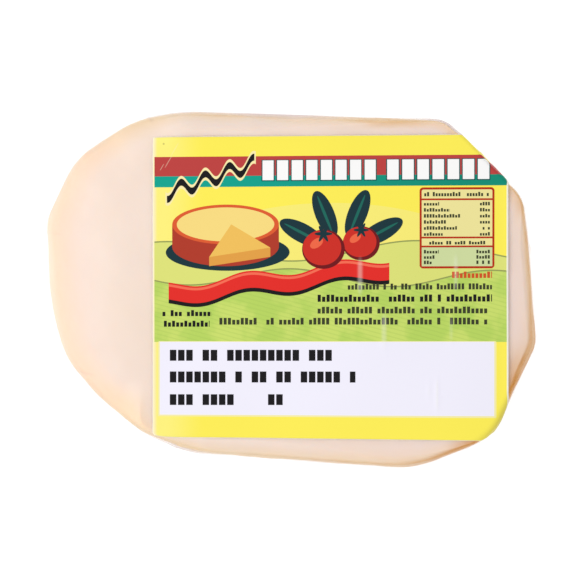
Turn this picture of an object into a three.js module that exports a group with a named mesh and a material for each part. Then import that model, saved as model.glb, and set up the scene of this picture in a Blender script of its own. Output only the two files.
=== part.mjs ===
// A half-kilo piece of smoked provoleta, vacuum packed in clear skin-tight film, with its paper label.
//
// The cheese is a thick, uneven oval slab with flat cut faces. It lies on its lower face.
// Millimetres. +X runs along the slab, +Y across it towards the label's top edge, +Z is up.
// The origin is under the middle of the slab, on the surface that it lies on.

import * as THREE from 'three';

// Driving dimensions of the slab.
const LENGTH = 140.3;
const WIDTH = 102;
const HEIGHT = 42;
const WAIST_HEIGHT = 19; // the sides stand out furthest here
const CROWN = 0.8; // the middle of the upper face stands this much above its edge
const SHOULDER_POWER = 2.4; // 2 is an elliptical edge, and more is squarer
const LOWER_SHOULDER_BASE = 6; // the lower edge is rounded this wide,
const LOWER_SHOULDER_SHARE = 0.5; // and this share of the upper edge's width besides

// The slab's outline from above, anticlockwise. Each corner has its place, how far from it the
// rounding starts, and how wide the edge between the upper face and the side is rounded there.
const CORNERS = [
  { x: 68.5, y: 11.8, round: 8, shoulder: 4 },
  { x: 66.6, y: 26.5, round: 4, shoulder: 3 },
  { x: 57.6, y: 34.7, round: 2, shoulder: 3 },
  { x: 50.8, y: 42.3, round: 4, shoulder: 3 },
  { x: 43.9, y: 48.6, round: 3, shoulder: 3.5 },
  { x: -32.0, y: 51.2, round: 7, shoulder: 8 },
  { x: -45.7, y: 48.4, round: 7, shoulder: 14 },
  { x: -62.1, y: 37.5, round: 6, shoulder: 20 },
  { x: -70.3, y: 19.6, round: 3, shoulder: 26 },
  { x: -69.0, y: -4.4, round: 8, shoulder: 26 },
  { x: -64.9, y: -19.3, round: 6, shoulder: 22 },
  { x: -55.5, y: -30.7, round: 6, shoulder: 17 },
  { x: -43.1, y: -40.8, round: 7, shoulder: 9 },
  { x: -29.1, y: -46.8, round: 5, shoulder: 7 },
  { x: 36.0, y: -51.5, round: 8, shoulder: 5 },
  { x: 54.6, y: -43.5, round: 3, shoulder: 3 },
  { x: 59.1, y: -39.4, round: 3, shoulder: 3 },
  { x: 70.5, y: -15.6, round: 5, shoulder: 4 },
];

// Slow waves in the surface: how deep, how long from crest to crest, and which way each runs.
const UPPER_WAVES = [
  { depth: 0.35, length: 88, heading: 0.5 },
  { depth: 0.25, length: 51, heading: 1.9 },
  { depth: 0.12, length: 33, heading: 2.7 },
];
const SIDE_WAVES = [
  { depth: 0.35, turns: 7, lean: 0.05 },
  { depth: 0.2, turns: 13, lean: -0.09 },
];

// The label: a sheet of paper on the film, folded over the slab's two right-hand corners.
const LABEL_WIDTH = 100;
const LABEL_HEIGHT = 86;
const LABEL_CENTRE = { x: 11.2, y: 0.4 };
const LABEL_THICKNESS = 0.3;
const LABEL_GAP = 0.6; // between the film and the label, so that the two solids stay apart
const LABEL_CELL = 2.5; // side of the squares that the sheet is divided into

// How finely the slab is divided.
const MERIDIANS = 120;
const FACE_STEPS = 4;
const UPPER_EDGE_STEPS = 9;
const LOWER_EDGE_STEPS = 7;
const OUTLINE_POINTS = 720;
const WRAP_STEPS = 24; // steps along an edge where a distance is measured over the surface

const FULL_TURN = 2 * Math.PI;

// A point on the way from one point to another, at a distance from the first.
function pointTowards(from, to, distance) {
  const share = distance / Math.hypot(to.x - from.x, to.y - from.y);
  return { x: from.x + (to.x - from.x) * share, y: from.y + (to.y - from.y) * share };
}

// The outline: straight sides with a curve at each corner, fitted to the slab's length and width.
function makeOutline() {
  const path = new THREE.Path();
  CORNERS.forEach((corner, index) => {
    const before = CORNERS[(index + CORNERS.length - 1) % CORNERS.length];
    const after = CORNERS[(index + 1) % CORNERS.length];
    const start = pointTowards(corner, before, corner.round);
    const end = pointTowards(corner, after, corner.round);
    if (index === 0) {
      path.moveTo(start.x, start.y);
    } else {
      path.lineTo(start.x, start.y);
    }
    path.quadraticCurveTo(corner.x, corner.y, end.x, end.y);
  });
  path.closePath();
  const points = path.getSpacedPoints(OUTLINE_POINTS).slice(0, OUTLINE_POINTS);
  const bounds = new THREE.Box2().setFromPoints(points);
  const centre = bounds.getCenter(new THREE.Vector2());
  const size = bounds.getSize(new THREE.Vector2());
  const fit = new THREE.Vector2(LENGTH / size.x, WIDTH / size.y);
  return points.map((point) => point.sub(centre).multiply(fit));
}

const outline = makeOutline();

// An angle brought between 0 and one full turn.
function wrapAngle(angle) {
  return ((angle % FULL_TURN) + FULL_TURN) % FULL_TURN;
}

// How far the outline lies from the slab's axis in one direction.
function outlineReach(angle) {
  const direction = new THREE.Vector2(Math.cos(angle), Math.sin(angle));
  for (let index = 0; index < outline.length; index += 1) {
    const first = outline[index];
    const second = outline[(index + 1) % outline.length];
    const firstSide = direction.cross(first);
    const secondSide = direction.cross(second);
    if (firstSide <= 0 && secondSide > 0 && direction.dot(first) > 0) {
      const share = firstSide / (firstSide - secondSide);
      return first.clone().lerp(second, share).length();
    }
  }
  throw new Error('the outline does not go round its axis');
}

// The width of the rounded upper edge in one direction, eased from corner to corner.
function shoulderWidth(angle) {
  const stops = CORNERS.map((corner) => ({
    angle: wrapAngle(Math.atan2(corner.y, corner.x)),
    shoulder: corner.shoulder,
  })).sort((first, second) => first.angle - second.angle);
  const turned = wrapAngle(angle);
  const nextIndex = stops.findIndex((stop) => stop.angle > turned);
  const next = stops[nextIndex < 0 ? 0 : nextIndex];
  const last = stops[nextIndex <= 0 ? stops.length - 1 : nextIndex - 1];
  const span = wrapAngle(next.angle - last.angle);
  const share = THREE.MathUtils.smoothstep(wrapAngle(turned - last.angle), 0, span);
  return THREE.MathUtils.lerp(last.shoulder, next.shoulder, share);
}

// The unevenness of the upper face at one place.
function upperWave(x, y) {
  return UPPER_WAVES.reduce((sum, wave) => {
    const along = x * Math.cos(wave.heading) + y * Math.sin(wave.heading);
    return sum + wave.depth * Math.sin((FULL_TURN * along) / wave.length);
  }, 0);
}

// The unevenness of the side in one direction and at one height.
function sideWave(angle, height) {
  return SIDE_WAVES.reduce(
    (sum, wave) => sum + wave.depth * Math.sin(wave.turns * angle + wave.lean * height * Math.PI),
    0,
  );
}

// The sizes of the slab's section in one direction.
function sectionSizes(angle) {
  const reach = outlineReach(angle);
  const shoulder = shoulderWidth(angle);
  const lower = LOWER_SHOULDER_BASE + LOWER_SHOULDER_SHARE * shoulder;
  return { angle, reach, shoulder, lower };
}

// A place on the section, moved by the waves. The lower face and the waist's reach stay true.
function placeOnSection(sizes, radius, height) {
  const lift = THREE.MathUtils.smoothstep(height, WAIST_HEIGHT, HEIGHT);
  const side = THREE.MathUtils.smoothstep(radius, sizes.reach - sizes.shoulder, sizes.reach);
  const clear = THREE.MathUtils.smoothstep(Math.abs(height - WAIST_HEIGHT), 0, WAIST_HEIGHT);
  const moved = radius - side * clear * lift * Math.abs(sideWave(sizes.angle, height));
  const x = moved * Math.cos(sizes.angle);
  const y = moved * Math.sin(sizes.angle);
  return new THREE.Vector3(x, y, height + lift * upperWave(x, y));
}

// The upper face, out to a share of the way to its rounded edge.
function upperFacePoint(sizes, share) {
  const radius = (sizes.reach - sizes.shoulder) * share;
  const fall = share ** 2 * (2 - share ** 2);
  return placeOnSection(sizes, radius, HEIGHT - CROWN * fall);
}

// The rounded upper edge, from the upper face at 0 to the waist at 1.
function upperEdgePoint(sizes, share) {
  const turn = (share * Math.PI) / 2;
  const out = Math.sin(turn) ** (2 / SHOULDER_POWER);
  const up = Math.cos(turn) ** (2 / SHOULDER_POWER);
  const radius = sizes.reach - sizes.shoulder * (1 - out);
  return placeOnSection(sizes, radius, WAIST_HEIGHT + (HEIGHT - CROWN - WAIST_HEIGHT) * up);
}

// The rounded lower edge, from the waist at 0 to the lower face at 1.
function lowerEdgePoint(sizes, share) {
  const turn = (share * Math.PI) / 2;
  const out = Math.cos(turn) ** (2 / SHOULDER_POWER);
  const down = Math.sin(turn) ** (2 / SHOULDER_POWER);
  const radius = sizes.reach - sizes.lower * (1 - out);
  return placeOnSection(sizes, radius, WAIST_HEIGHT * (1 - down));
}

// One section's points, from beside the top of the axis to beside its foot.
function sectionPoints(angle) {
  const sizes = sectionSizes(angle);
  const points = [];
  for (let step = 1; step <= FACE_STEPS; step += 1) {
    points.push(upperFacePoint(sizes, step / FACE_STEPS));
  }
  for (let step = 1; step <= UPPER_EDGE_STEPS; step += 1) {
    points.push(upperEdgePoint(sizes, step / UPPER_EDGE_STEPS));
  }
  for (let step = 1; step <= LOWER_EDGE_STEPS; step += 1) {
    points.push(lowerEdgePoint(sizes, step / LOWER_EDGE_STEPS));
  }
  return points;
}

// A closed surface from its points and the corners of its triangles.
function makeGeometry(points, triangles) {
  const geometry = new THREE.BufferGeometry().setFromPoints(points);
  geometry.setIndex(triangles);
  geometry.computeVertexNormals();
  return geometry;
}

// The packed slab: a section in every direction round the axis, joined to the next one.
function makePackGeometry() {
  const sections = [];
  for (let index = 0; index < MERIDIANS; index += 1) {
    const point = outline[(index * OUTLINE_POINTS) / MERIDIANS];
    sections.push(sectionPoints(Math.atan2(point.y, point.x)));
  }
  const rings = sections[0].length;
  const top = MERIDIANS * rings;
  const foot = top + 1;
  const triangles = [];
  for (let index = 0; index < MERIDIANS; index += 1) {
    const here = index * rings;
    const next = ((index + 1) % MERIDIANS) * rings;
    triangles.push(top, here, next);
    for (let ring = 0; ring < rings - 1; ring += 1) {
      triangles.push(here + ring, here + ring + 1, next + ring + 1);
      triangles.push(here + ring, next + ring + 1, next + ring);
    }
    triangles.push(foot, next + rings - 1, here + rings - 1);
  }
  const topPoint = new THREE.Vector3(0, 0, HEIGHT + upperWave(0, 0));
  const footPoint = new THREE.Vector3(0, 0, 0);
  return makeGeometry([...sections.flat(), topPoint, footPoint], triangles);
}

// Where a place on a flat sheet comes to lie when the sheet is laid over the slab's top and
// folded down its sides: the same distance from the axis, measured over the surface.
function wrapPoint(x, y) {
  const sizes = sectionSizes(Math.atan2(y, x));
  const distance = Math.hypot(x, y);
  const flat = sizes.reach - sizes.shoulder;
  if (distance <= flat) {
    return upperFacePoint(sizes, distance / flat);
  }
  let gone = flat;
  let here = upperEdgePoint(sizes, 0);
  for (let step = 1; step <= WRAP_STEPS; step += 1) {
    const next = upperEdgePoint(sizes, step / WRAP_STEPS);
    const length = next.distanceTo(here);
    if (gone + length >= distance) {
      return here.lerp(next, (distance - gone) / length);
    }
    gone += length;
    here = next;
  }
  throw new Error('the sheet reaches below the waist');
}

// The outward direction of the sheet at one place.
function wrapNormal(x, y) {
  const step = 0.4;
  const alongX = wrapPoint(x + step, y).sub(wrapPoint(x - step, y));
  const alongY = wrapPoint(x, y + step).sub(wrapPoint(x, y - step));
  return alongX.cross(alongY).normalize();
}

// The label: two faces of one grid of squares, closed round the border.
function makeLabelGeometry() {
  const columns = Math.round(LABEL_WIDTH / LABEL_CELL);
  const rows = Math.round(LABEL_HEIGHT / LABEL_CELL);
  const under = [];
  const over = [];
  for (let row = 0; row <= rows; row += 1) {
    for (let column = 0; column <= columns; column += 1) {
      const x = LABEL_CENTRE.x + (column / columns - 0.5) * LABEL_WIDTH;
      const y = LABEL_CENTRE.y + (row / rows - 0.5) * LABEL_HEIGHT;
      const place = wrapPoint(x, y);
      const normal = wrapNormal(x, y);
      under.push(place.clone().addScaledVector(normal, LABEL_GAP));
      over.push(place.clone().addScaledVector(normal, LABEL_GAP + LABEL_THICKNESS));
    }
  }
  const above = under.length;
  const cornerIndex = (row, column) => row * (columns + 1) + column;
  const triangles = [];
  for (let row = 0; row < rows; row += 1) {
    for (let column = 0; column < columns; column += 1) {
      const square = [
        cornerIndex(row, column),
        cornerIndex(row, column + 1),
        cornerIndex(row + 1, column + 1),
        cornerIndex(row + 1, column),
      ];
      // Each square is split along the fold that its corner of the sheet bends over.
      const middle = under[square[0]].clone().add(under[square[2]]);
      const [a, b, c, d] = middle.x * middle.y > 0 ? [...square.slice(1), square[0]] : square;
      triangles.push(above + a, above + b, above + c, above + a, above + c, above + d);
      triangles.push(a, c, b, a, d, c);
    }
  }
  const closeEdge = (from, to) => {
    triangles.push(from, to, above + to, from, above + to, above + from);
  };
  for (let column = 0; column < columns; column += 1) {
    closeEdge(cornerIndex(0, column), cornerIndex(0, column + 1));
    closeEdge(cornerIndex(rows, column + 1), cornerIndex(rows, column));
  }
  for (let row = 0; row < rows; row += 1) {
    closeEdge(cornerIndex(row, columns), cornerIndex(row + 1, columns));
    closeEdge(cornerIndex(row + 1, 0), cornerIndex(row, 0));
  }
  return makeGeometry([...under, ...over], triangles);
}

// The cheese seen through its clear film: pale cream, with the film's gloss.
function packMaterial() {
  return new THREE.MeshStandardMaterial({ color: 0xf3decb, roughness: 0.3, metalness: 0 });
}

// Printed yellow paper.
function labelMaterial() {
  return new THREE.MeshStandardMaterial({ color: 0xfeef5f, roughness: 0.45, metalness: 0 });
}

function makePart() {
  const pack = new THREE.Mesh(makePackGeometry(), packMaterial());
  pack.name = 'pack';
  const label = new THREE.Mesh(makeLabelGeometry(), labelMaterial());
  label.name = 'label';
  const part = new THREE.Group();
  part.add(pack, label);
  return part;
}

export default makePart();
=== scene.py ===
# A piece of smoked provoleta, vacuum packed in clear film, with its paper label, seen from above.
#
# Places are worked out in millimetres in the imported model's frame, and become metres in the meshes.
# +X runs along the slab, +Y across it towards the label's top edge, and +Z is up. A direction is
# the angle from +X, seen from above: in degrees in the lists of spots, and in radians elsewhere.

import math

import bpy
import numpy as np
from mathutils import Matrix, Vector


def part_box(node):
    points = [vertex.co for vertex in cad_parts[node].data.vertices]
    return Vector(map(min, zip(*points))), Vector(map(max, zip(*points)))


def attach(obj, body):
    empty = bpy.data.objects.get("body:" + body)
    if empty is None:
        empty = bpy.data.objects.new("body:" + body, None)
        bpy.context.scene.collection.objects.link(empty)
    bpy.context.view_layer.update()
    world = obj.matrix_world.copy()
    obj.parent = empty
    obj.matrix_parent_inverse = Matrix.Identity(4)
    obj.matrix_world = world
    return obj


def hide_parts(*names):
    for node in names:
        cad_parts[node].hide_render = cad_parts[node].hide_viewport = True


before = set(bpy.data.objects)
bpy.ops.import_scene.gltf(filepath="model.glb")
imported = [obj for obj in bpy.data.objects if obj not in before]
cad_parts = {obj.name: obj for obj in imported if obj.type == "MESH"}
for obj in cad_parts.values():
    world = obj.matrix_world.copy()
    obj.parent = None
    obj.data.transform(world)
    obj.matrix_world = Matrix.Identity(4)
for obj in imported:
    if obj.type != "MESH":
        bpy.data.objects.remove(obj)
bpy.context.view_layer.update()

MM = 0.001
FULL_TURN = 2 * math.pi
RIGHT_ANGLE = math.pi / 2

# The slab, as the solids have it
HEIGHT = 42
WAIST_HEIGHT = 19  # the sides stand out furthest here
CROWN = 0.8  # the upper face falls by this much towards its edge
SHOULDER_POWER = 2.4  # the rounded edges are superellipses, and 2 would make them ellipses
LOWER_SHOULDER_BASE = 6  # the width of the rounded lower edge, which grows with the upper one
LOWER_SHOULDER_SHARE = 0.5

# Corners of the slab from above: x, y, where the rounding starts, width of the rounded upper edge.
# They are the solids' own, but the upper edge is sharper where the label folds over and at the
# label's lower left corner, and the right-hand corner is rounded less.
CORNERS = (
    (68.5, 11.8, 8, 4),
    (66.6, 26.5, 4, 2),
    (57.6, 34.7, 2, 1.2),
    (50.8, 42.3, 4, 1.2),
    (43.9, 48.6, 3, 2),
    (-32.0, 51.2, 7, 8),
    (-45.7, 48.4, 7, 14),
    (-62.1, 37.5, 6, 20),
    (-70.3, 19.6, 3, 26),
    (-69.0, -4.4, 8, 26),
    (-64.9, -19.3, 6, 22),
    (-55.5, -30.7, 6, 17),
    (-43.1, -40.8, 7, 3),
    (-29.1, -46.8, 5, 7),
    (36.0, -51.5, 8, 5),
    (54.6, -43.5, 3, 2),
    (59.1, -39.4, 3, 2),
    (70.4, -15.6, 2.5, 4),
)
UPPER_WAVES = ((0.35, 88, 0.5), (0.25, 51, 1.9), (0.12, 33, 2.7))  # depth, length, heading
SIDE_WAVES = ((0.35, 7, 0.05), (0.2, 13, -0.09))  # depth, waves round the slab, lean

# The label's size, place and spacing
LABEL_WIDTH = 100
LABEL_HEIGHT = 86
LABEL_CENTRE = (11.2, 0.4)
LABEL_GAP = 0.07  # off the film
LABEL_THICKNESS = 0.14
LABEL_CELL = 0.5  # of its mesh

# The photograph: a camera straight above, whose frame is 580 pixels wide
PIXEL = 0.2809  # millimetres a pixel, at the label
FRAME_PIXELS = 580
CAMERA_DISTANCE = 1000
CAMERA_PLACE = (-0.19, -0.1)  # from above the middle of the slab


def smoothstep(low, high, value):
    """0 below low, 1 above high, and eased between them."""
    share = np.clip((value - low) / (high - low), 0, 1)
    return share * share * (3 - 2 * share)


def bump(distance, width):
    """A rounded ridge: 1 at no distance, and almost 0 two widths away."""
    return np.exp(-((distance / width) ** 2))


def by_direction(angle, base, spots):
    """A value round the slab: a base, and more or less of it near each spot. A spot is a
    direction, how far it spreads, both in degrees, and the change that it makes."""
    total = base
    for place, spread, change in spots:
        away = (np.degrees(angle) - place + 180) % 360 - 180
        total = total + change * bump(away, spread)
    return total


# The slab's form


def corner_curve(before, corner, after, start, count=16):
    """Points of the curve that rounds one corner."""
    first = corner + (before - corner) * start / np.linalg.norm(before - corner)
    last = corner + (after - corner) * start / np.linalg.norm(after - corner)
    share = np.linspace(0, 1, count)[:, None]
    return (1 - share) ** 2 * first + 2 * share * (1 - share) * corner + share**2 * last


def make_outline(step=0.2):
    """The slab's outline, as the angle and reach of many points, fitted to the solid's size."""
    corners = np.array([corner[:2] for corner in CORNERS])
    starts = [corner[2] for corner in CORNERS]
    before = np.roll(corners, 1, axis=0)
    after = np.roll(corners, -1, axis=0)
    curves = [corner_curve(*places) for places in zip(before, corners, after, starts)]
    points = np.concatenate([*curves, curves[0][:1]])
    along = np.concatenate([[0], np.cumsum(np.linalg.norm(np.diff(points, axis=0), axis=1))])
    even = np.arange(0, along[-1], step)
    points = np.stack([np.interp(even, along, points[:, axis]) for axis in (0, 1)], axis=1)
    low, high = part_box("pack")
    size = np.array([high.x - low.x, high.y - low.y]) / MM
    middle = (points.max(axis=0) + points.min(axis=0)) / 2
    points = (points - middle) * size / (points.max(axis=0) - points.min(axis=0))
    return np.arctan2(points[:, 1], points[:, 0]) % FULL_TURN, np.hypot(*points.T)


OUTLINE_ANGLES, OUTLINE_REACH = make_outline()


def outline_reach(angle):
    """How far the outline lies from the slab's axis in each direction."""
    return np.interp(angle, OUTLINE_ANGLES, OUTLINE_REACH, period=FULL_TURN)


def inside_outline(angle, points):
    """How far inside the outline points lie, seen from above, each in its own direction."""
    return outline_reach(angle) - np.hypot(points[..., 0], points[..., 1])


def shoulder_width(angle):
    """The width of the rounded upper edge in each direction, eased from corner to corner."""
    corners = np.array(CORNERS)
    stops = np.arctan2(corners[:, 1], corners[:, 0]) % FULL_TURN
    order = np.argsort(stops)
    stops, widths = stops[order], corners[order, 3]
    stops = np.concatenate([stops[-1:] - FULL_TURN, stops, stops[:1] + FULL_TURN])
    widths = np.concatenate([widths[-1:], widths, widths[:1]])
    angle = np.asarray(angle) % FULL_TURN
    following = np.clip(np.searchsorted(stops, angle, side="right"), 1, len(stops) - 1)
    share = smoothstep(stops[following - 1], stops[following], angle)
    return widths[following - 1] + (widths[following] - widths[following - 1]) * share


def upper_wave(x, y):
    """The unevenness of the upper face."""
    return sum(
        depth * np.sin(FULL_TURN * (x * math.cos(heading) + y * math.sin(heading)) / length)
        for depth, length, heading in UPPER_WAVES
    )


def side_wave(angle, height):
    """The unevenness of the sides."""
    return sum(
        depth * np.sin(turns * angle + lean * height * math.pi)
        for depth, turns, lean in SIDE_WAVES
    )


def edge_shares(course):
    """How far a rounded edge has gone outwards, and how far it still stands up, on its course."""
    turn = np.clip(course, 0, 1) * RIGHT_ANGLE
    power = 2 / SHOULDER_POWER
    return np.sin(turn) ** power, np.clip(np.cos(turn), 0, 1) ** power


def slab_place(angle, course):
    """A place on the slab. Course runs down its section: 0 to 1 over the upper face, to 2 round
    the upper edge, to 3 round the lower edge, and to 4 across the lower face to the axis."""
    reach = outline_reach(angle)
    shoulder = shoulder_width(angle)
    lower = LOWER_SHOULDER_BASE + LOWER_SHOULDER_SHARE * shoulder
    upper_rise, upper_fall = edge_shares(course - 1)
    lower_rise, lower_fall = edge_shares(course - 2)
    parts = [course <= 1, course <= 2, course <= 3]
    radii = [
        (reach - shoulder) * course,
        reach - shoulder * (1 - upper_rise),
        reach - lower * (1 - lower_fall),
    ]
    radius = np.select(parts, radii, (reach - lower) * (4 - course))
    heights = [
        HEIGHT - CROWN * course**2 * (2 - course**2),
        WAIST_HEIGHT + (HEIGHT - CROWN - WAIST_HEIGHT) * upper_fall,
        WAIST_HEIGHT * (1 - lower_rise),
    ]
    height = np.select(parts, heights, 0)
    lift = smoothstep(WAIST_HEIGHT, HEIGHT, height)
    side = smoothstep(reach - shoulder, reach, radius)
    clear = smoothstep(0, WAIST_HEIGHT, np.abs(height - WAIST_HEIGHT))
    moved = radius - side * clear * lift * np.abs(side_wave(angle, height))
    x, y = moved * np.cos(angle), moved * np.sin(angle)
    return np.stack([x, y, height + lift * upper_wave(x, y)], axis=-1)


def grid_normals(points, closed):
    """Outward normals of a grid of points. A closed grid joins its last column to its first."""
    if closed:
        across = np.roll(points, -1, axis=1) - np.roll(points, 1, axis=1)
    else:
        across = np.gradient(points, axis=1)
    normals = np.cross(np.gradient(points, axis=0), across)
    return normals / np.linalg.norm(normals, axis=-1, keepdims=True)


# Meshes


def make_object(name, points, faces, materials):
    """A smooth-shaded object from points in millimetres."""
    mesh = bpy.data.meshes.new(name)
    mesh.from_pydata((points * MM).tolist(), [], faces)
    mesh.shade_smooth()
    for material in materials:
        mesh.materials.append(material)
    made = bpy.data.objects.new(name, mesh)
    bpy.context.scene.collection.objects.link(made)
    return made


def add_values(piece, name, values):
    """Gives each point of a piece a number that its material can read."""
    attribute = piece.data.attributes.new(name, "FLOAT", "POINT")
    attribute.data.foreach_set("value", np.asarray(values, dtype=np.float32).ravel())


def slab_grid(columns, face_rings, upper_rings, lower_rings, base_rings):
    """The angles and courses of a grid over the whole slab, apart from its two poles."""
    angles = np.arange(columns) * FULL_TURN / columns
    courses = np.concatenate([
        np.linspace(0, 1, face_rings + 1)[1:],
        np.linspace(1, 2, upper_rings + 1)[1:],
        np.linspace(2, 3, lower_rings + 1)[1:],
        np.linspace(3, 4, base_rings + 1)[1:-1],
    ])
    return np.meshgrid(angles, courses)


def shell_faces(rings, columns):
    """Faces of a closed shell whose points are a grid of rings, then its top, then its foot."""
    top, foot = rings * columns, rings * columns + 1
    index = np.arange(rings * columns).reshape(rings, columns)
    following = np.roll(index, -1, axis=1)
    quads = np.stack([index[:-1], index[1:], following[1:], following[:-1]], axis=-1)
    caps = [(top, a, b) for a, b in zip(index[0].tolist(), following[0].tolist())]
    caps += [(foot, b, a) for a, b in zip(index[-1].tolist(), following[-1].tolist())]
    return quads.reshape(-1, 4).tolist() + caps


def make_shell(name, grid, low, high, values, material):
    """A closed shell from a grid of points, its lowest and highest height on the axis, and the
    numbers that its material reads."""
    poles = [[0, 0, high], [0, 0, low]]
    points = np.concatenate([grid.reshape(-1, 3), poles])
    shell = make_object(name, points, shell_faces(*grid.shape[:2]), [material])
    for key, shares in values.items():
        add_values(shell, key, np.append(shares.ravel(), [0, 0]))
    return shell


# The cheese

CHEESE_GRID = (480, 24, 44, 30, 10)
CHEESE_INSET = 0.25  # how far it lies inside its film
STAND_OFFS = ((46, 5, 0.5), (-125, 8, 0.4))  # it lies deeper here

# The rind's smoke, from 0 to 1, is darkest at the lower right
SMOKE_BASE = 0.41
SMOKE_SPOTS = (
    (327, 27, 0.54),
    (175, 36, -0.37),
    (128, 12, -0.1),
    (92, 14, -0.14),
    (241, 10, -0.1),
    (300, 9, -0.1),
    (355, 8, 0.12),
    (17, 13, 0.2),
)
# Seen from above, the rind is this wide inside the outline, and fades over these shares of it
RIND_BASE = 1.9
RIND_SPOTS = (
    (340, 15, 2.2),
    (311, 7, 0.9),
    (60, 9, 1.6),
    (172, 40, 0.6),
    (19, 4, 0.6),
    (5, 8, 0.55),
    (299, 8, 0.55),
    (318, 5, 0.4),
)
RIND_FADE = (0.5, 1.15)
BASE_FADE = (2.3, 2.75)  # round the lower edge, on the section's course
# Darker lines run along the rind. The one further in is the rind's own, and the one on the outline is
# painted shade, where the edge turns down out of the light
LINE_BASE = 0.15
LINE_SPOTS = ((335, 12, 0.3),)
LINE_WIDTH = 0.25
INNER_LINE = 0.2
INNER_LINE_DEPTH = 0.7
INNER_LINE_WIDTH = 0.2
# A weaker stain of smoke reaches further in over the upper face
STAIN_SPOTS = ((339, 7.5, 0.65), (26, 3.2, 0.6))
STAIN_WIDTH = 14
# The cream of the upper edge reaches this far inwards, and further where the edge is broad
CREAM_BASE = 3.2
CREAM_SPOTS = (
    (302, 14, 2.4),
    (345, 14, 1.2),
    (217, 7, 5.5),
    (101, 9, -2.2),
    (120, 8, -1.4),
)
CREAM_SHARE = 0.35
# The upper face is warmer on the left, and this blush fades inwards
BLUSH_SPOTS = ((178, 36, 0.85),)
BLUSH_FADE = (9.5, 20)


def cheese_relief(points):
    """The cheese's unevenness under its film, broad and fine."""
    x, y, z = np.moveaxis(points, -1, 0)
    broad = np.sin(x * 0.31 + 1.3 * np.sin(y * 0.12)) * np.sin(y * 0.27 + z * 0.2)
    fine = np.sin(x * 0.83 + z * 0.5 + 2 * np.sin(y * 0.2)) * np.sin(y * 0.71 - z * 0.4 + 1)
    return 0.1 * broad + 0.04 * fine


def smoke_and_painted_shade(angle, points, inside, depth):
    """How dark the rind's smoke is, with its darker inner line and fine streaks, and painted shade on
    its outline and its lower sides.
    """
    # The inner line and the streaks are the rind's own, while the outline's line and the darker lower
    # sides are painted shade.
    inner = INNER_LINE * bump(depth - INNER_LINE_DEPTH, INNER_LINE_WIDTH)
    outline_shade = by_direction(angle, LINE_BASE, LINE_SPOTS) * bump(depth, LINE_WIDTH)
    streaks = 0.08 * np.sin(5.5 * inside + 2.5 * np.sin(3 * angle))
    painted_low_shade = 1 - smoothstep(WAIST_HEIGHT - 2, HEIGHT - 8, points[..., 2])
    pattern = 0.92 + (inner + outline_shade) + streaks + 0.1 * painted_low_shade
    return np.clip(by_direction(angle, SMOKE_BASE, SMOKE_SPOTS) * pattern, 0, 1)


def cheese_values(angle, course, points):
    """How far each point of the cheese is rind, cream and blush, and how dark its smoke is, painted
    shade on the rind's outline and lower sides included.
    """
    inside = inside_outline(angle, points)
    depth = inside / by_direction(angle, RIND_BASE, RIND_SPOTS)
    above = 1 - smoothstep(*RIND_FADE, depth)
    below = 1 - smoothstep(*BASE_FADE, course)
    stain = by_direction(angle, 0, STAIN_SPOTS) * (1 - smoothstep(0, STAIN_WIDTH, inside))
    cream_width = by_direction(angle, CREAM_BASE, CREAM_SPOTS) + CREAM_SHARE * shoulder_width(angle)
    return {
        "rind": np.where(course < 2, np.maximum(above, stain), below),
        "cream": 1 - smoothstep(0, 1, inside / cream_width),
        "blush": by_direction(angle, 0, BLUSH_SPOTS) * (1 - smoothstep(*BLUSH_FADE, inside)),
        # The smoke value carries the rind's smoke and also painted shade on its outline and lower
        # sides.
        "smoke": smoke_and_painted_shade(angle, points, inside, depth),
    }


def make_cheese(material):
    """The slab of cheese inside its film."""
    angle, course = slab_grid(*CHEESE_GRID)
    points = slab_place(angle, course)
    normals = grid_normals(points, closed=True)
    side = smoothstep(1.0, 1.5, course) * (1 - smoothstep(2.5, 3.0, course))
    inset = CHEESE_INSET + side * by_direction(angle, 0, STAND_OFFS) - cheese_relief(points)
    solid = points - normals * inset[..., None]
    solid[..., 2] = np.maximum(solid[..., 2], CHEESE_INSET)
    top = HEIGHT + upper_wave(0, 0) - CHEESE_INSET
    values = cheese_values(angle, course, points)
    return make_shell("cheese", solid, CHEESE_INSET, top, values, material)


# The film

FILM_GRID = (720, 20, 40, 34, 8)
PLEAT_COUNT = 54
PLEAT_SEED = 11
# Seen edge on, the film is hazier in some directions
HAZE_BASE = 0.05
HAZE_SPOTS = (
    (94, 14, 0.85),
    (122, 8, 0.2),
    (46, 6, 0.65),
    (236, 8, 0.35),
    (280, 8, 0.15),
)


def film_pleats(angle, points):
    """The height of the small pleats that the film has down the slab's sides."""
    random = np.random.default_rng(PLEAT_SEED)
    corners = np.array([math.atan2(y, x) for x, y, *_ in CORNERS])
    level = points[..., 2]
    rim = 1 - smoothstep(HEIGHT - 9, HEIGHT - 4, level)
    total = np.zeros(angle.shape)
    for _ in range(PLEAT_COUNT):
        place = random.choice(corners) + random.normal(0, 0.09)
        lean = random.normal(0, 0.22)
        width = random.uniform(0.45, 0.9)
        height = random.uniform(0.12, 0.5)
        middle = random.uniform(8, 28)
        length = random.uniform(5, 13)
        turned = (angle - place + math.pi) % FULL_TURN - math.pi
        along = turned * outline_reach(angle) - lean * (level - middle)
        ends = bump(level - middle, length) * smoothstep(0.5, 4, level)
        total += height * bump(along, width) * ends * rim
    taut = bump(level - WAIST_HEIGHT - 2, 9)
    return total * (1 - 0.8 * taut)


def make_film(material):
    """The clear film drawn tight over the slab."""
    angle, course = slab_grid(*FILM_GRID)
    points = slab_place(angle, course)
    normals = grid_normals(points, closed=True)
    pleats = film_pleats(angle, points)
    skin = points + normals * pleats[..., None]
    skin[..., 2] = np.maximum(skin[..., 2], 0)
    values = {"pleat": pleats, "haze": by_direction(angle, HAZE_BASE, HAZE_SPOTS)}
    return make_shell("film", skin, 0, HEIGHT + upper_wave(0, 0), values, material)


# The label

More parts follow.
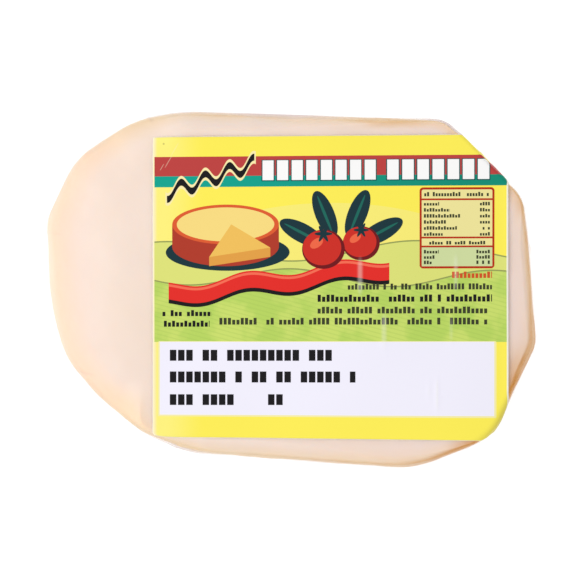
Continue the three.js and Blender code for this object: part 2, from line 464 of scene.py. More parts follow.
CREASES = (
    # x, lower end, upper end, height, width, measured from the label's lower left corner
    (58.3, 40.5, 52.0, 0.14, 0.9),
    (65.0, 25.5, 36.5, 0.13, 1.0),
    (85.2, 41.5, 53.0, 0.12, 0.8),
    (83.9, 27.0, 36.0, 0.09, 0.8),
    (77.6, 12.0, 16.0, 0.12, 0.5),
    (79.9, 8.0, 18.0, 0.15, 0.5),
)
WRAP_STEPS = 40
# The label isn't quite square: its top edge climbs and its foot falls a little to the right
TOP_SLOPE = 0.008
TOP_PIVOT = 58
LEVEL_LINE = 29
FOOT_SLOPE = 0.012
FOOT_STRIP = 12
# Its edges stand off the film, the right-hand one most
CURL_WIDTH = 1.6
EDGE_CURL = 0.05
RIGHT_CURL = 0.22
# Painted shade: it is darker where it folds over the slab's rim at the lower right, turned away from
# the light
PAINTED_FOLD_SHADES = ((330, 9, 1.0),)
PAINTED_FOLD_SHADE_WIDTH = 3.6
# Laid out flat on a unit square, its upper side takes most of it, and the rest is in strips below
UV_SPAN = (0.01, 0.99)
UV_UPPER = (0.1, 0.99)
UV_BORDER = (0.085, 0.07)
UV_UNDER = (0.01, 0.06)


def wrap_sheet(x, y):
    """Where the places of a flat sheet come to lie when it is laid on the slab's top and folded
    down its sides: as far from the axis as before, measured over the surface."""
    angle = np.arctan2(y, x)
    distance = np.hypot(x, y)
    flat = outline_reach(angle) - shoulder_width(angle)
    place = slab_place(angle, np.minimum(distance / flat, 1))
    gone = flat.copy()
    here = slab_place(angle, np.ones_like(angle))
    for step in range(1, WRAP_STEPS + 1):
        after = slab_place(angle, np.full_like(angle, 1 + step / WRAP_STEPS))
        length = np.linalg.norm(after - here, axis=-1)
        share = (distance - gone) / length
        inside = (share > 0) & (share <= 1)
        place[inside] = (here + (after - here) * share[..., None])[inside]
        gone += length
        here = after
    return place


def off_square(across, up):
    """How far the label's print and edges lie above or below where a square sheet has them."""
    climb = np.clip((up - LEVEL_LINE) / (LABEL_HEIGHT - LEVEL_LINE), 0, 1)
    top = TOP_SLOPE * (across - TOP_PIVOT) * climb
    foot = FOOT_SLOPE * (LABEL_WIDTH - across) * (1 - smoothstep(0, FOOT_STRIP, up))
    return top + foot


def crease_height(across, up):
    """The height of the label's creases."""
    total = np.zeros(across.shape)
    for x, low, high, height, width in CREASES:
        ends = smoothstep(low - 2, low + 3, up) * (1 - smoothstep(high - 3, high + 2, up))
        total += height * bump(across - x, width) * ends
    return total


def edge_curl(across, up):
    """How far the label's edges stand off the film."""
    inwards = np.minimum(across, np.minimum(up, LABEL_HEIGHT - up))
    right = RIGHT_CURL * bump(LABEL_WIDTH - across, CURL_WIDTH)
    return EDGE_CURL * bump(inwards, CURL_WIDTH) + right


def painted_fold_shade(place):
    """How much painted shade the label's fold over the rim gets at each place, from 0 to 1."""
    angle = np.arctan2(place[..., 1], place[..., 0])
    near = 1 - smoothstep(0, PAINTED_FOLD_SHADE_WIDTH, inside_outline(angle, place))
    return near * by_direction(angle, 0, PAINTED_FOLD_SHADES)


def label_faces(rows, columns):
    """Faces of a closed sheet: its upper side, its under side and its border."""
    over = np.arange(rows * columns).reshape(rows, columns)
    under = over + rows * columns
    upper = np.stack([over[:-1, :-1], over[:-1, 1:], over[1:, 1:], over[1:, :-1]], axis=-1)
    lower = np.stack([under[:-1, :-1], under[1:, :-1], under[1:, 1:], under[:-1, 1:]], axis=-1)
    rim = np.concatenate([over[0, :-1], over[:-1, -1], over[-1, :0:-1], over[:0:-1, 0]])
    ahead = np.roll(rim, -1)
    border = np.stack([ahead, rim, rim + rows * columns, ahead + rows * columns], axis=-1)
    return upper.reshape(-1, 4), lower.reshape(-1, 4), border


def between(ends, share):
    """The value at a share of the way from one end to the other."""
    return ends[0] + (ends[1] - ends[0]) * share


def label_uv(piece, across, up, upper_count, lower_count):
    """Lays the label out flat: its upper side large, its under side and border in thin strips."""
    mesh = piece.data
    vertices = np.zeros(len(mesh.loops), dtype=np.int64)
    mesh.loops.foreach_get("vertex_index", vertices)
    face, corner = np.divmod(np.arange(len(mesh.loops)), 4)
    wide = across.ravel() / LABEL_WIDTH
    high = up.ravel() / LABEL_HEIGHT
    count = wide.size
    u = between(UV_SPAN, wide[vertices % count])
    v = high[vertices % count]
    v = np.where(face < upper_count, between(UV_UPPER, v), between(UV_UNDER, v))
    border = face >= upper_count + lower_count
    step = face - upper_count - lower_count + np.isin(corner, (0, 3))
    u = np.where(border, between(UV_SPAN, step / max(1, border.sum() // 4)), u)
    v = np.where(border, np.where(corner < 2, *UV_BORDER), v)
    layer = mesh.uv_layers.new(name="OFBake")
    layer.data.foreach_set("uv", np.stack([u, v], axis=-1).astype(np.float32).ravel())


def make_label(printed, paper):
    """The paper label, with its print on the upper side."""
    columns = round(LABEL_WIDTH / LABEL_CELL) + 1
    rows = round(LABEL_HEIGHT / LABEL_CELL) + 1
    across, up = np.meshgrid(
        np.linspace(0, LABEL_WIDTH, columns), np.linspace(0, LABEL_HEIGHT, rows)
    )
    x = LABEL_CENTRE[0] + across - LABEL_WIDTH / 2
    y = LABEL_CENTRE[1] + up - LABEL_HEIGHT / 2 + off_square(across, up)
    place = wrap_sheet(x, y)
    normals = -grid_normals(place, closed=False)
    raised = LABEL_GAP + edge_curl(across, up)
    crease = crease_height(across, up)
    over = place + normals * (raised + crease + LABEL_THICKNESS)[..., None]
    under = place + normals * (raised + crease)[..., None]
    upper, lower, border = label_faces(rows, columns)
    points = np.concatenate([over.reshape(-1, 3), under.reshape(-1, 3)])
    faces = np.concatenate([upper, lower, border]).tolist()
    label = make_object("paper_label", points, faces, [printed, paper])
    slots = np.concatenate([np.zeros(len(upper)), np.ones(len(lower) + len(border))])
    label.data.polygons.foreach_set("material_index", slots.astype(np.int32))
    flat = np.stack([across, up, np.zeros_like(up)], axis=-1).reshape(-1, 3)
    attribute = label.data.attributes.new("place", "FLOAT_VECTOR", "POINT")
    attribute.data.foreach_set("vector", np.tile(flat, (2, 1)).astype(np.float32).ravel())
    add_values(label, "crease", np.tile(crease.ravel(), 2))
    # The fold value is painted shade, laid on in the print.
    add_values(label, "fold", np.tile(painted_fold_shade(place).ravel(), 2))
    label_uv(label, across, up, len(upper), len(lower))
    return label


# Materials

LIGHT_LEVEL = 1.115


def rgb(red, green, blue):
    """The linear colour of a surface that shows as a screen colour, 0 to 255 each, in the light
    that falls on the label."""
    shares = [value / 255 for value in (red, green, blue)]
    linear = [s / 12.92 if s <= 0.04045 else ((s + 0.055) / 1.055) ** 2.4 for s in shares]
    return (*[value / LIGHT_LEVEL for value in linear], 1.0)


class Nodes:
    """Makes and joins the nodes of one material."""

    def __init__(self, name):
        self.material = bpy.data.materials.new(name)
        self.material.use_nodes = True
        self.tree = self.material.node_tree
        self.tree.nodes.clear()
        self.output = self.tree.nodes.new("ShaderNodeOutputMaterial")

    def feed(self, socket, value):
        """Sets a socket to a value, or joins it to another node's output."""
        if isinstance(value, bpy.types.NodeSocket):
            self.tree.links.new(value, socket)
        else:
            socket.default_value = value

    def add(self, kind, settings=None, **inputs):
        """A node, with its settings, and its inputs by name."""
        node = self.tree.nodes.new(kind)
        for key, value in (settings or {}).items():
            setattr(node, key, value)
        for key, value in inputs.items():
            self.feed(node.inputs[key.replace("_", " ")], value)
        return node

    def chain(self, kind, settings, *values):
        """A node, with its settings, and its inputs in their order."""
        node = self.add(kind, settings)
        for socket, value in zip(node.inputs, values):
            self.feed(socket, value)
        return node

    def math(self, operation, *values):
        """The result of a Math node."""
        return self.chain("ShaderNodeMath", {"operation": operation}, *values).outputs[0]

    def vector(self, operation, *values):
        """A Vector Math node."""
        return self.chain("ShaderNodeVectorMath", {"operation": operation}, *values)

    def place(self):
        """Where a point of the piece is, in metres."""
        return self.add("ShaderNodeTexCoord").outputs["Object"]

    def parts(self, vector):
        """The x, y and z of a vector."""
        return self.add("ShaderNodeSeparateXYZ", Vector=vector).outputs

    def value(self, name):
        """A number that the mesh gives each of its points."""
        return self.add("ShaderNodeAttribute", {"attribute_name": name}).outputs["Fac"]

    def ramp(self, value, low, high, start=0.0, end=1.0):
        """Start below low, end above high, and eased between them."""
        node = self.add(
            "ShaderNodeMapRange",
            {"interpolation_type": "SMOOTHSTEP"},
            Value=value,
            From_Min=low,
            From_Max=high,
            To_Min=start,
            To_Max=end,
        )
        return node.outputs[0]

    def noise(self, vector, scale, detail=3.0):
        """A soft pattern between 0 and 1."""
        node = self.add("ShaderNodeTexNoise", Vector=vector, Scale=scale, Detail=detail)
        return node.outputs["Fac"]

    def relief(self, height, strength, distance):
        """The normal of a surface with fine relief."""
        node = self.add("ShaderNodeBump", Height=height, Strength=strength, Distance=distance)
        return node.outputs[0]

    def mix(self, share, first, second):
        """One colour laid over another, by the sockets that a Mix node has for colours."""
        node = self.add("ShaderNodeMix", {"data_type": "RGBA"})
        self.feed(node.inputs[0], share)
        self.feed(node.inputs[6], first)
        self.feed(node.inputs[7], second)
        return node.outputs[2]

    def blend(self, share, first, second):
        """One shader laid over another."""
        return self.chain("ShaderNodeMixShader", None, share, first, second).outputs[0]

    def finish(self, shader):
        """Joins the shader to the output, and gives the material."""
        self.tree.links.new(shader, self.output.inputs["Surface"])
        return self.material


def cheese_material():
    """Pale cream cut faces, warmer at the upper edge, and a smoked rind from light to dark amber.
    Painted light: the face is lighter on the left, and painted shade darkens the rind's outline and
    lower sides.
    """
    nodes = Nodes("cheese")
    place = nodes.place()
    x = nodes.parts(place)[0]
    broad = nodes.noise(place, 28.0)
    fine = nodes.noise(place, 160.0, detail=5.0)
    # Painted light: the upper face is lighter on the left and darker on the right, partly its own
    # tone and partly light falling off away from the left.
    along = nodes.ramp(x, -0.055, 0.06)
    face = nodes.mix(along, rgb(247, 228, 215), rgb(241, 220, 211))
    face = nodes.mix(nodes.ramp(broad, 0.35, 0.7, 0.0, 0.3), face, rgb(246, 224, 203))
    face = nodes.mix(nodes.value("blush"), face, rgb(239, 218, 206))
    inland = nodes.ramp(x, -0.062, -0.04)
    cream = nodes.mix(inland, rgb(251, 214, 183), rgb(245, 211, 166))
    face = nodes.mix(nodes.math("MULTIPLY", nodes.value("cream"), 0.85), face, cream)
    rind_share = nodes.value("rind")
    # The smoke value holds the rind's smoke and also painted shade on its outline and lower sides.
    smoke = nodes.value("smoke")
    smoke = nodes.math("MULTIPLY", smoke, nodes.ramp(broad, 0.3, 0.7, 0.85, 1.15))
    smoke = nodes.math("MULTIPLY", smoke, nodes.ramp(fine, 0.3, 0.7, 0.89, 1.11))
    pale = nodes.mix(inland, rgb(252, 225, 201), rgb(250, 228, 190))
    rind = nodes.mix(smoke, pale, rgb(209, 142, 60))
    shader = nodes.add(
        "ShaderNodeBsdfPrincipled",
        Base_Color=nodes.mix(rind_share, face, rind),
        Roughness=0.5,
        Normal=nodes.relief(fine, 0.12, 0.0004),
        Subsurface_Weight=0.25,
        Subsurface_Radius=(1.0, 0.7, 0.45),
        Subsurface_Scale=0.0015,
        Specular_IOR_Level=0.05,
    )
    return nodes.finish(shader.outputs[0])


def film_material():
    """Clear film, seen by its gloss, which is softer on the upper face than on the sides, and by a
    pale haze at pleats and edges."""
    nodes = Nodes("film")
    place = nodes.place()
    wrinkle = nodes.noise(place, 120.0)
    facing = nodes.add("ShaderNodeLayerWeight", Blend=0.5).outputs["Facing"]
    edge = nodes.math("MULTIPLY", nodes.ramp(facing, 0.68, 0.92), nodes.value("haze"))
    pleat = nodes.ramp(nodes.value("pleat"), 0.05, 0.5, 0.0, 0.2)
    haze = nodes.math("ADD", edge, pleat)
    clear = nodes.add("ShaderNodeBsdfTransparent", Color=(1, 1, 1, 1))
    veil = nodes.add("ShaderNodeBsdfDiffuse", Color=rgb(226, 208, 210))
    upper = nodes.ramp(nodes.parts(place)[2], 0.026, 0.036)
    gloss = nodes.add(
        "ShaderNodeBsdfGlossy",
        Color=(1, 1, 1, 1),
        Roughness=nodes.ramp(upper, 0.0, 1.0, 0.12, 0.3),
        Normal=nodes.relief(wrinkle, 0.25, 0.0004),
    )
    least = nodes.ramp(upper, 0.0, 1.0, 0.02, 0.012)
    shine = nodes.math("MULTIPLY_ADD", nodes.math("POWER", facing, 5.0), 0.2, least)
    veiled = nodes.blend(haze, clear.outputs[0], veil.outputs[0])
    return nodes.finish(nodes.blend(shine, veiled, gloss.outputs[0]))


class Print(Nodes):
    """Lays fields of colour over one another on the label.

    A place is in millimetres from the label's lower left corner. A mask is 1 where the ink goes."""

    SEED_STEP = 17.3  # sets the chances of one row apart from another's
    TALL_FROM = 0.62  # blocks whose chance is above this are tall

    def __init__(self, name, paper):
        super().__init__(name)
        attribute = self.add("ShaderNodeAttribute", {"attribute_name": "place"})
        self.spot = attribute.outputs["Vector"]
        self.x, self.y = self.parts(self.spot)[:2]
        self.colour = paper

    def lay(self, ink, mask):
        """Prints one ink where the mask is 1."""
        self.colour = self.mix(mask, self.colour, ink)

    def both(self, *masks):
        """Where all the masks are 1."""
        joined = masks[0]
        for mask in masks[1:]:
            joined = self.math("MULTIPLY", joined, mask)
        return joined

    def part(self, mask, share):
        """A mask made weaker, for thin ink."""
        return self.math("MULTIPLY", mask, share)

    def within(self, value, low, high):
        """Where a value lies between two others."""
        return self.math("COMPARE", value, (low + high) / 2, (high - low) / 2)

    def box(self, left, right, bottom, top):
        """An upright rectangle."""
        return self.both(self.within(self.x, left, right), self.within(self.y, bottom, top))

    def rounded(self, left, right, bottom, top, radius):
        """A rectangle with round corners."""
        middle = ((left + right) / 2, (bottom + top) / 2, 0)
        half = ((right - left) / 2 - radius, (top - bottom) / 2 - radius, 0)
        away = self.vector("ABSOLUTE", self.vector("SUBTRACT", self.spot, middle).outputs[0])
        past = self.vector("SUBTRACT", away.outputs[0], half)
        past = self.vector("MAXIMUM", past.outputs[0], (0, 0, 0))
        length = self.vector("LENGTH", past.outputs[0]).outputs["Value"]
        return self.math("LESS_THAN", length, radius)

    def ellipse(self, x, y, half_width, half_height, turn=0.0):
        """An ellipse, turned by an angle in degrees."""
        away = self.vector("SUBTRACT", self.spot, (x, y, 0)).outputs[0]
        if turn:
            away = self.add(
                "ShaderNodeVectorRotate",
                {"rotation_type": "Z_AXIS"},
                Vector=away,
                Angle=-math.radians(turn),
            ).outputs[0]
        sized = self.vector("MULTIPLY", away, (1 / half_width, 1 / half_height, 0)).outputs[0]
        return self.math("LESS_THAN", self.vector("LENGTH", sized).outputs["Value"], 1.0)

    def left_of(self, first, second):
        """The side on the left of a line from one point to another."""
        normal = (first[1] - second[1], second[0] - first[0], 0)
        start = normal[0] * first[0] + normal[1] * first[1]
        reach = self.vector("DOT_PRODUCT", self.spot, normal).outputs["Value"]
        return self.math("GREATER_THAN", reach, start)

    def wave(self, height, slope, depth, length, phase):
        """A wavy line's height over the label's width."""
        turn = self.math("MULTIPLY_ADD", self.x, FULL_TURN / length, phase)
        line = self.math("MULTIPLY_ADD", self.x, slope, height)
        return self.math("MULTIPLY_ADD", self.math("SINE", turn), depth, line)

    def along(self, curve, width):
        """A stroke along a wavy line."""
        return self.math("COMPARE", self.y, curve, width / 2)

    def below(self, curve):
        """What lies under a wavy line."""
        return self.math("LESS_THAN", self.y, curve)

    def blocks(self, left, right, bottom, height, pitch, ink_share):
        """A row of plain blocks, and the number of the block at each place."""
        count = self.math("MULTIPLY_ADD", self.x, 1 / pitch, -left / pitch)
        block = self.math("COMPARE", self.math("FRACT", count), 0.5, ink_share / 2)
        row = self.both(self.box(left, right, bottom, bottom + height), block)
        return row, self.math("FLOOR", count)

    def words(self, left, right, bottom, height, pitch, seed, gaps=0.16, low=0.72, ink_share=0.72):
        """A row of plain blocks, some of them low, with gaps between groups as long as words."""
        row, number = self.blocks(left, right, bottom, height, pitch, ink_share)
        node = self.add("ShaderNodeTexWhiteNoise", {"noise_dimensions": "1D"})
        self.feed(node.inputs["W"], self.math("ADD", number, seed * self.SEED_STEP))
        chance = node.outputs["Value"]
        inked = self.math("GREATER_THAN", chance, gaps)
        tall = self.math("GREATER_THAN", chance, self.TALL_FROM)
        top = self.math("MULTIPLY_ADD", tall, (1 - low) * height, bottom + low * height)
        return self.both(row, inked, self.below(top))


# The inks
YELLOW = rgb(254, 239, 88)
PALE_YELLOW = rgb(254, 242, 126)
SKY_YELLOW = rgb(250, 238, 120)
MARGIN_YELLOW = rgb(252, 240, 196)
PANEL_YELLOW = rgb(248, 240, 170)
BRICK = rgb(189, 66, 64)
TEAL = rgb(6, 164, 144)
DULL_TEAL = rgb(10, 142, 118)
DARK_TEAL = rgb(16, 84, 84)
GREEN = rgb(203, 223, 110)
DEEP_GREEN = rgb(184, 214, 98)
FAR_GREEN = rgb(222, 227, 122)
FURROW_GREEN = rgb(160, 190, 88)
OLIVE = rgb(150, 160, 90)
WHITE = rgb(243, 241, 255)
TITLE_WHITE = rgb(252, 252, 252)
CURL_CREAM = rgb(252, 238, 176)
CREAM = rgb(240, 230, 156)
PALE_GREEN = rgb(208, 221, 162)
RED = rgb(228, 44, 38)
PALE_RED = rgb(246, 110, 84)
LINE_RED = rgb(208, 82, 36)
FRAME_RED = rgb(184, 44, 14)
BLACK = rgb(22, 20, 24)
DARK = rgb(58, 62, 40)
LEAF = rgb(22, 52, 60)
LEAF_VEIN = rgb(28, 104, 92)

# The label's main lines, from its lower left corner
PRINT_LEFT = 0.5
PRINT_RIGHT = 99.5
FIELD_FOOT = 27.9
FIELD_TOP = 60
TEAL_FOOT = 71.7
BRICK_FOOT = 74.8
BRICK_TOP = 80.3
LINES_RIGHT = 95.4


def print_grounds(sheet):
    """The large fields: the yellow ground, the two bands, the green hills and the white panel."""
    yellow = sheet.mix(sheet.ramp(sheet.x, 3, 15), PALE_YELLOW, YELLOW)
    yellow = sheet.mix(sheet.ramp(sheet.x, 0.1, 1.5), MARGIN_YELLOW, yellow)
    sheet.lay(yellow, sheet.box(0.1, PRINT_RIGHT, 0.1, 85.9))
    sky = sheet.box(PRINT_LEFT, PRINT_RIGHT, 28, 71)
    sheet.lay(SKY_YELLOW, sheet.both(sheet.ellipse(50, 48, 46, 19), sky))
    far = sheet.wave(53.5, 0.0, 2.8, 70, 1.2)
    near = sheet.wave(46.5, -0.01, 2.4, 57, 3.6)
    field = sheet.box(PRINT_LEFT, PRINT_RIGHT, FIELD_FOOT, FIELD_TOP)
    sheet.lay(FAR_GREEN, sheet.both(sheet.below(far), field))
    patch = sheet.ramp(sheet.noise(sheet.spot, 0.11), 0.4, 0.6)
    sheet.lay(sheet.mix(patch, GREEN, DEEP_GREEN), sheet.both(sheet.below(near), field))
    slant = sheet.vector("DOT_PRODUCT", sheet.spot, (1.4, 5.2, 0)).outputs["Value"]
    furrow = sheet.ramp(sheet.math("SINE", slant), 0.2, 1.0, 0.0, 0.25)
    sheet.lay(FURROW_GREEN, sheet.both(furrow, sheet.below(near), field))
    for line in (far, near):
        sheet.lay(OLIVE, sheet.both(sheet.along(line, 0.4), field))
    sheet.lay(BRICK, sheet.box(PRINT_LEFT, PRINT_RIGHT, BRICK_FOOT, BRICK_TOP))
    teal = sheet.mix(sheet.ramp(sheet.x, 10, 90), TEAL, DULL_TEAL)
    sheet.lay(teal, sheet.box(PRINT_LEFT, PRINT_RIGHT, TEAL_FOOT, BRICK_FOOT))
    sheet.lay(PANEL_YELLOW, sheet.rounded(1.5, 96.6, 6.5, 28.1, 0.4))
    sheet.lay(WHITE, sheet.box(1.98, 96.0, 7.04, 27.95))


def print_title(sheet):
    """Plain white blocks on the bands, and a black wavy line before them."""
    for left, right, pitch in ((30.4, 63.2, 4.1), (65.4, 95.1, 4.25)):
        sheet.lay(DARK_TEAL, sheet.blocks(left, right, 73.2, 6.1, pitch, 0.9)[0])
        sheet.lay(TITLE_WHITE, sheet.blocks(left, right, 73.5, 5.6, pitch, 0.76)[0])
    curl = sheet.wave(68.6, 0.34, 1.8, 6.8, 0.6)
    sheet.lay(CURL_CREAM, sheet.both(sheet.along(curl, 3.6), sheet.box(3.6, 29.0, 64, 84)))
    sheet.lay(BLACK, sheet.both(sheet.along(curl, 2.0), sheet.box(4.0, 28.6, 64, 84)))


def print_wheel(sheet, x, y):
    """A wheel of cheese with a wedge leaning on it, in plain shapes."""
    half_width, half_height = 15.0, 5.6
    base, top = y - 4.6, y + 1.6
    side = rgb(176, 58, 40)
    sheet.lay(LEAF, sheet.ellipse(x + 0.6, y - 6.3, 17.4, 5.2))
    sheet.lay(side, sheet.ellipse(x, base, half_width, half_height))
    sheet.lay(side, sheet.box(x - half_width, x + half_width, base, top))
    sheet.lay(rgb(222, 92, 48), sheet.ellipse(x, top, half_width, half_height))
    sheet.lay(rgb(248, 220, 130), sheet.ellipse(x, top, 13.7, 4.8))
    tip, heel, back = (x - 4.6, y - 7.6), (x + 12.6, y - 5.0), (x + 1.6, y + 1.6)
    wedge = sheet.both(
        sheet.left_of(tip, heel), sheet.left_of(heel, back), sheet.left_of(back, tip)
    )
    sheet.lay(rgb(240, 192, 92), wedge)
    thickness = 2.6
    crust = sheet.both(
        sheet.left_of((tip[0], tip[1] - thickness), (heel[0], heel[1] - thickness)),
        sheet.left_of(heel, tip),
        sheet.within(sheet.x, tip[0], heel[0]),
    )
    sheet.lay(rgb(226, 160, 70), crust)


def print_ribbon(sheet):
    """A waving red ribbon with a black shadow."""
    for height, width, ink in ((40.0, 5.0, BLACK), (41.0, 4.8, RED), (42.6, 0.7, PALE_RED)):
        curve = sheet.wave(height, 0.12, 1.3, 26, 1.4)
        sheet.lay(ink, sheet.both(sheet.along(curve, width), sheet.box(4.5, 66.5, 36, 56)))


def print_tomato(sheet, x, y, radius):
    """A tomato with a shaded side, a light patch and a small star of leaves."""
    sheet.lay(rgb(112, 20, 26), sheet.ellipse(x, y, radius, radius * 0.92))
    sheet.lay(rgb(206, 46, 36), sheet.ellipse(x - 0.4, y + 0.4, radius * 0.9, radius * 0.82))
    light = sheet.ellipse(
        x - radius * 0.32, y + radius * 0.28, radius * 0.34, radius * 0.2, 35
    )
    sheet.lay(rgb(240, 104, 70), light)
    for turn in (0, 60, 120):
        sheet.lay(LEAF, sheet.ellipse(x, y + radius * 0.72, radius * 0.42, radius * 0.09, turn))


def print_motif(sheet):
    """A wheel of cheese over a ribbon, with tomatoes and leaves beside it."""
    print_ribbon(sheet)
    print_wheel(sheet, 20.5, 59.5)
    for x, y, turn in ((42.0, 58.6, 152), (48.4, 63.8, 112), (57.6, 64.0, 68), (64.0, 58.8, 28)):
        sheet.lay(LEAF, sheet.ellipse(x, y, 7.0, 2.7, turn))
        sheet.lay(LEAF_VEIN, sheet.ellipse(x, y, 5.6, 0.4, turn))
    print_tomato(sheet, 58.6, 55.6, 5.2)
    print_tomato(sheet, 48.0, 54.0, 6.0)


def print_table(sheet):
    """A framed table of plain bars."""
    left, right, bottom, top = 75.0, 96.1, 48.5, 71.2
    frame_width = 0.6
    foot_line = 54.4
    inner_left, inner_right = left + frame_width, right - frame_width
    inner_bottom, inner_top = bottom + frame_width, top - frame_width
    sheet.lay(FRAME_RED, sheet.rounded(left, right, bottom, top, 1.0))
    sheet.lay(CREAM, sheet.rounded(inner_left, inner_right, inner_bottom, inner_top, 0.5))
    sheet.lay(PALE_GREEN, sheet.box(inner_left, inner_right, inner_bottom, foot_line))
    for height in (foot_line, 56.9, 67.6):
        sheet.lay(FRAME_RED, sheet.box(left, right, height, height + 0.5))
    names_start, figures_end = left + 1.1, right - 1.2
    sheet.lay(DARK, sheet.words(left + 1.2, right - 1.4, 68.7, 1.2, 0.8, 1))
    for row in range(6):
        height = 66.1 - row * 1.69
        name_end = left + 5.5 + (row * 3) % 7
        sheet.lay(DARK, sheet.words(names_start, name_end, height, 1.0, 0.8, 2 + row, 0.0))
        sheet.lay(DARK, sheet.words(right - 4.2, figures_end, height, 1.0, 0.75, 9 + row, 0.1))
    sheet.lay(DARK, sheet.words(left + 2.6, right - 2.6, 55.2, 1.0, 0.8, 20, 0.08))
    for row in range(3):
        height = 52.7 - row * 1.5
        name_end = left + 5.4 - row
        sheet.lay(DARK, sheet.words(names_start, name_end, height, 1.0, 0.8, 22 + row, 0.0))
        sheet.lay(DARK, sheet.words(right - 5.2, figures_end, height, 1.0, 0.8, 26 + row, 0.12))


def print_lines(sheet):
    """Lines of small blocks, and three lines of larger blocks on the panel."""
    small = (
        # ink, left end, right end, foot, height, pitch, seed, share of gaps
        (LINE_RED, 84.0, LINES_RIGHT, 45.8, 1.8, 1.1, 31, 0.0),
        (DARK, 53.7, LINES_RIGHT, 42.6, 1.7, 1.0, 32, 0.16),
        (BLACK, 46.2, LINES_RIGHT, 39.2, 2.0, 1.25, 33, 0.16),
        (DARK, 46.2, LINES_RIGHT, 35.9, 1.9, 1.2, 34, 0.16),
        (DARK, 18.6, LINES_RIGHT, 32.8, 1.9, 1.2, 35, 0.16),
        (BLACK, 2.6, 16.6, 35.2, 1.7, 1.15, 36, 0.1),
        (BLACK, 3.0, 16.0, 32.2, 1.7, 1.15, 37, 0.0),
    )
    for ink, *line in small:
        sheet.lay(ink, sheet.words(*line))
    for right, bottom, seed in ((50.8, 22.6, 41), (57.0, 16.5, 46), (37.5, 10.1, 43)):
        sheet.lay(BLACK, sheet.words(4.6, right, bottom, 3.1, 2.3, seed, 0.13, 1.0, 0.8))


def print_marks_and_painted_light(sheet):
    """Painted highlights on the creases and in a few fine pale streaks, painted shade at the fold
    over the rim, and a dark speck.
    """
    # Painted highlight: paler ink along the creases, where they catch the light.
    sheet.lay(rgb(246, 246, 236), sheet.ramp(sheet.value("crease"), 0.03, 0.16, 0.0, 0.3))
    # Painted shade at the fold over the rim.
    sheet.lay(rgb(176, 160, 84), sheet.part(sheet.value("fold"), 0.75))
    # Painted highlights: a few fine pale streaks near the top left corner.
    for x, y, length in ((6.2, 82.4, 2.2), (4.4, 78.9, 2.0), (2.6, 77.4, 1.1)):
        sheet.lay(rgb(250, 240, 210), sheet.part(sheet.ellipse(x, y, length, 0.12, 60), 0.3))
    sheet.lay(DARK, sheet.part(sheet.ellipse(3.1, 84.0, 0.3, 0.3), 0.35))


def label_print_material():
    """The label's upper side: its print, with painted highlights and shade laid in, fine paper grain
    and a light sheen.
    """
    sheet = Print("label_print", rgb(255, 252, 240))
    for layer in (print_grounds, print_title, print_motif, print_table, print_lines, print_marks_and_painted_light):
        layer(sheet)
    fibres = sheet.noise(sheet.spot, 3.0, detail=4.0)
    shader = sheet.add(
        "ShaderNodeBsdfPrincipled",
        Base_Color=sheet.colour,
        Roughness=0.45,
        Normal=sheet.relief(fibres, 0.06, 0.0002),
        Specular_IOR_Level=0.12,
    )
    return sheet.finish(shader.outputs[0])


def paper_material():
    """The label's white paper, at its edges and under side."""
    nodes = Nodes("label_paper")
    fibres = nodes.noise(nodes.place(), 900.0)
    colour = nodes.mix(fibres, rgb(250, 249, 244), rgb(236, 234, 228))
    shader = nodes.add("ShaderNodeBsdfPrincipled", Base_Color=colour, Roughness=0.8)
    return nodes.finish(shader.outputs[0])


# The floor, the light and the camera

FLOOR_HALF = 2500
FLOOR_DEPTH = 0.1  # below the slab's foot
FLOOR_GLOW = 0.82
WORLD_LIGHT = 0.88
WORLD_COLOUR = (1.0, 0.995, 0.99, 1)
KEY_PLACE = (-760, -20, 700)
KEY_TARGET = (0, 0, 30)
KEY_SIZE = 700
KEY_WATTS = 4.0
KEY_COLOUR = (1.0, 0.99, 0.975)


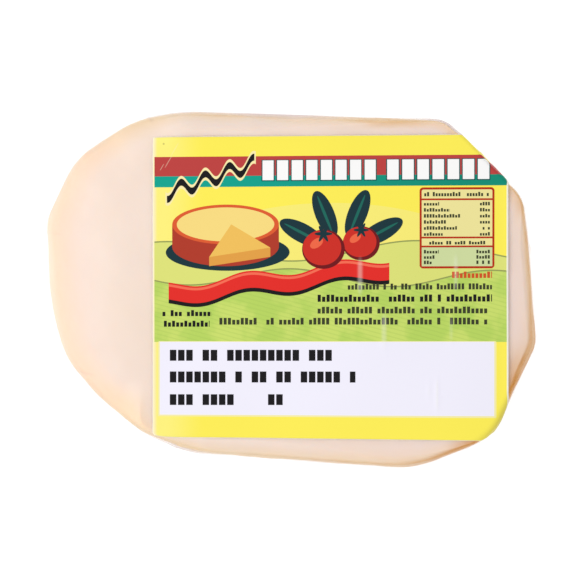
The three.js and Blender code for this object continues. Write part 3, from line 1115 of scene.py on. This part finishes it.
def make_floor():
    """A plain white floor that glows a little, like a studio table lit from below."""
    nodes = Nodes("floor")
    shader = nodes.add(
        "ShaderNodeBsdfPrincipled",
        Base_Color=(0.3, 0.3, 0.3, 1),
        Roughness=0.9,
        Specular_IOR_Level=0.0,
        Emission_Color=(1, 1, 1, 1),
        Emission_Strength=FLOOR_GLOW,
    )
    sides = ((-1, -1), (1, -1), (1, 1), (-1, 1))
    corners = np.array([(x * FLOOR_HALF, y * FLOOR_HALF, -FLOOR_DEPTH) for x, y in sides])
    floor = make_object("floor", corners, [(0, 1, 2, 3)], [nodes.finish(shader.outputs[0])])


def make_key_light():
    """A soft square light from the left, turned to the slab."""
    light = bpy.data.lights.new("key", "AREA")
    light.size = KEY_SIZE * MM
    light.energy = KEY_WATTS
    light.color = KEY_COLOUR
    lamp = bpy.data.objects.new("key", light)
    bpy.context.scene.collection.objects.link(lamp)
    lamp.location = [value * MM for value in KEY_PLACE]
    aim = np.array(KEY_TARGET, dtype=float) - np.array(KEY_PLACE, dtype=float)
    tilt = math.acos(-aim[2] / np.linalg.norm(aim))
    lamp.rotation_euler = (tilt, 0, math.atan2(aim[1], aim[0]) - RIGHT_ANGLE)


def make_world():
    """Even white light from all round."""
    world = bpy.data.worlds.new("studio")
    world.use_nodes = True
    background = world.node_tree.nodes["Background"]
    background.inputs["Color"].default_value = WORLD_COLOUR
    background.inputs["Strength"].default_value = WORLD_LIGHT
    bpy.context.scene.world = world


def make_camera():
    """A camera straight above the label, framed as the photograph is."""
    camera = bpy.data.cameras.new("camera")
    camera.sensor_width = 36
    camera.lens = camera.sensor_width * CAMERA_DISTANCE / (FRAME_PIXELS * PIXEL)
    camera.clip_start = 0.01
    camera.clip_end = 20
    seen = bpy.data.objects.new("camera", camera)
    bpy.context.scene.collection.objects.link(seen)
    x, y = CAMERA_PLACE
    seen.location = (x * MM, y * MM, (HEIGHT + CAMERA_DISTANCE) * MM)
    bpy.context.scene.camera = seen


cheese = make_cheese(cheese_material())
film = make_film(film_material())
label = make_label(label_print_material(), paper_material())
dressed = ((cheese, "pack", "cheese"), (film, "pack", "film"), (label, "label", "label"))
for piece, node, finish in dressed:
    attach(piece, "root")
    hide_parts(node)

make_floor()
make_world()
make_key_light()
make_camera()
bpy.context.scene.view_settings.view_transform = "Standard"
